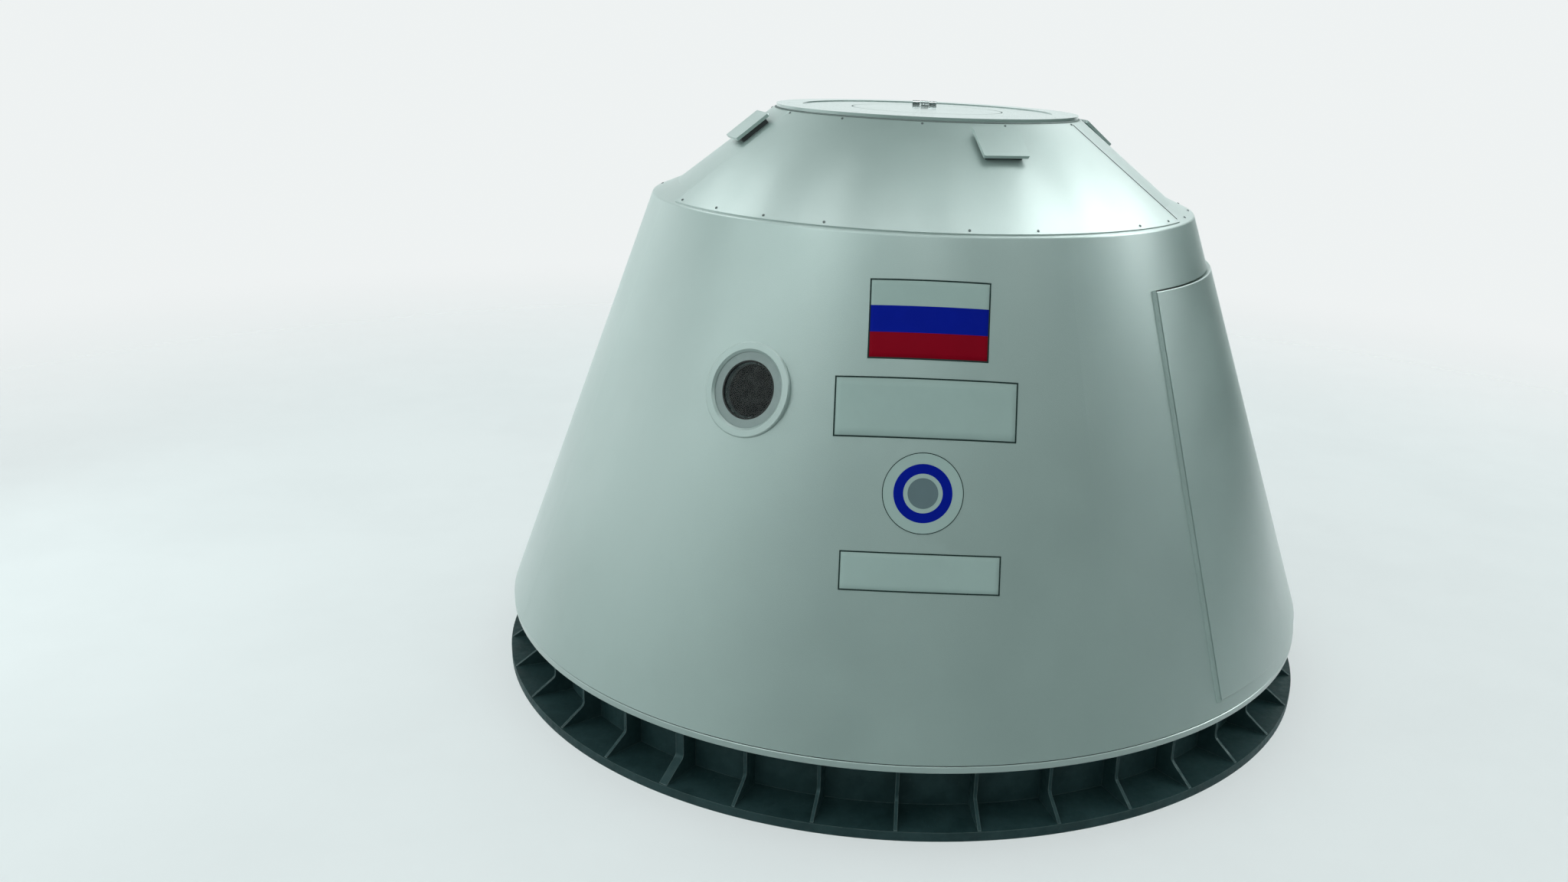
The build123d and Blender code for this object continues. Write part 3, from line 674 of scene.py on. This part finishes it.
# Azimuth, height above the horizon and strength of each soft box in the mirrored room
SOFT_BOXES = (
    (-162, 27, 3.5), (-135, 42, 9.8), (-90, 46, 6.3), (-45, 42, 3.5), (-15, 16, 0.5), (12, 32, 15.2),
    (35, 62, 0.9), (52, 32, 2.2), (142, 8, 0.8), (152, 42, 2.2),
)
# Place and strength of each lamp under the ceiling, close enough that its glint moves down the roof
CEILING_LAMPS = (
    (-2.6, 1.0, 4.0), (-2.1, 0.0, 5.6), (-1.2, -0.9, 5.4), (-0.3, -1.3, 5.5), (0.6, -1.2, 6.0),
    (1.4, -0.7, 10.0), (2.1, 0.0, 8.4), (2.7, 0.9, 5.4),
)
CEILING_HEIGHT = 4.2
CEILING_LAMP_SIZE = 0.8


def pale_floor():
    """Matt floor that keeps the shadow, looks pale and fades into the backdrop."""
    size = FLOOR_REACH
    mesh = bpy.data.meshes.new("floor")
    corners = ((-size, -size, 0), (size, -size, 0), (size, size, 0), (-size, size, 0))
    mesh.from_pydata(corners, [], [(0, 1, 2, 3)])
    floor = bpy.data.objects.new("floor", mesh)
    scene.collection.objects.link(floor)
    m = Material("floor_mat")
    m.color(m.mix(m.ramp(m.noise(0.6, 4.0, 0.55), 0.3, 0.7), (0.40, 0.44, 0.45), (0.44, 0.48, 0.49)))
    m.set(Roughness=0.7)
    glow = m.add("ShaderNodeEmission", Color=(0.97, 1.0, 1.0, 1.0))
    m.link(m.product(m.seen_by_eye(), FLOOR_GLOW), glow.inputs["Strength"])
    lit = m.add("ShaderNodeAddShader")
    m.link(m.bsdf.outputs["BSDF"], lit.inputs[0])
    m.link(glow.outputs[0], lit.inputs[1])
    away = m.add("ShaderNodeVectorMath", operation="LENGTH")
    m.link(m.coords, away.inputs[0])
    clear = m.add("ShaderNodeBsdfTransparent")
    surface = m.mix_shader(m.ramp(away.outputs["Value"], *FLOOR_FADE), lit.outputs[0], clear.outputs[0])
    m.link(surface, m.out.inputs["Surface"])
    mesh.materials.append(m.mat)


def studio_world():
    """Even light for matt surfaces; mirrored rays see the pale backdrop and soft boxes above it."""
    world = bpy.data.worlds.new("studio")
    scene.world = world
    world.use_nodes = True
    w = Tree(world.node_tree)
    out = w.add("ShaderNodeOutputWorld")
    direction = w.add("ShaderNodeTexCoord").outputs["Generated"]
    split = w.add("ShaderNodeSeparateXYZ")
    w.link(direction, split.inputs[0])
    x, y, z = split.outputs

    def background(color, strength=1.0):
        node = w.add("ShaderNodeBackground")
        w.fill(node.inputs["Color"], color)
        w.fill(node.inputs["Strength"], strength)
        return node.outputs[0]

    fill = background(COOL, w.sum(w.ramp(x, -1.0, 1.0, FILL_FROM_LEFT, 0.0), EVEN_FILL))
    window_side = w.ramp(x, -0.85, -0.45, WINDOW_GLOW, 0.0)
    behind = w.product(w.ramp(y, 0.45, 0.85), w.ramp(x, 0.35, 0.65, BACK_GLOW, 0.0))
    mirrored = w.math("MAXIMUM", window_side, behind)
    for az, height, strength in SOFT_BOXES:
        a, h = radians(az), radians(height)
        way = (cos(h) * cos(a), cos(h) * sin(a), sin(h))
        box = w.ramp(w.dot(direction, way), cos(SOFT_BOX_EDGE), cos(SOFT_BOX_CORE), 0.0, strength)
        mirrored = w.sum(mirrored, box)
    mirrored = background(COOL, mirrored)

    plain = background((0.86, 0.89, 0.89))
    path = w.add("ShaderNodeLightPath")
    direct = w.math("MAXIMUM", path.outputs["Is Camera Ray"], path.outputs["Is Transmission Ray"])
    light = w.mix_shader(path.outputs["Is Glossy Ray"], fill, mirrored)
    w.link(w.mix_shader(direct, light, plain), out.inputs["Surface"])


def area_light(name, place, target, size, size_y, power):
    light = bpy.data.lights.new(name, "AREA")
    light.shape = "RECTANGLE"
    light.size = size
    light.size_y = size_y
    light.energy = power
    light.color = COOL
    obj = bpy.data.objects.new(name, light)
    scene.collection.objects.link(obj)
    obj.location = place
    obj.rotation_mode = "QUATERNION"
    obj.rotation_quaternion = (Vector(target) - Vector(place)).to_track_quat("-Z", "Y")
    return obj


def ceiling_lamps():
    """Square lamps under the ceiling, which show as glints in the paint alone."""
    size = CEILING_LAMP_SIZE
    for k, (x, y, strength) in enumerate(CEILING_LAMPS):
        place, power = (x, y, CEILING_HEIGHT), strength * pi * size ** 2
        lamp = area_light(f"ceiling_lamp_{k + 1}", place, (x, y, 0.0), size, size, power)
        lamp.visible_diffuse = False
        lamp.visible_camera = False


def photo_camera():
    data = bpy.data.cameras.new("camera")
    camera = bpy.data.objects.new("camera", data)
    scene.collection.objects.link(camera)
    data.sensor_width = 36.0
    data.lens = 29.76735
    data.shift_x = -0.057115
    data.shift_y = 0.021378
    data.clip_end = 200.0
    right = Vector((0.999146, 0.003685, 0.041146))
    up = Vector((-0.040151, 0.321027, 0.946219))
    back = Vector((-0.009722, -0.947063, 0.320901))
    place = Vector((-0.26864, -7.0379, 3.29851))
    camera.matrix_world = Matrix((
        (right.x, up.x, back.x, place.x),
        (right.y, up.y, back.y, place.y),
        (right.z, up.z, back.z, place.z),
        (0, 0, 0, 1),
    ))
    scene.camera = camera


pale_floor()
studio_world()
area_light("window", (-6.3, -0.6, 2.4), (-0.8, -0.6, 1.4), 4.0, 3.0, 42)
ceiling_lamps()
photo_camera()
scene.view_settings.view_transform = "Standard"
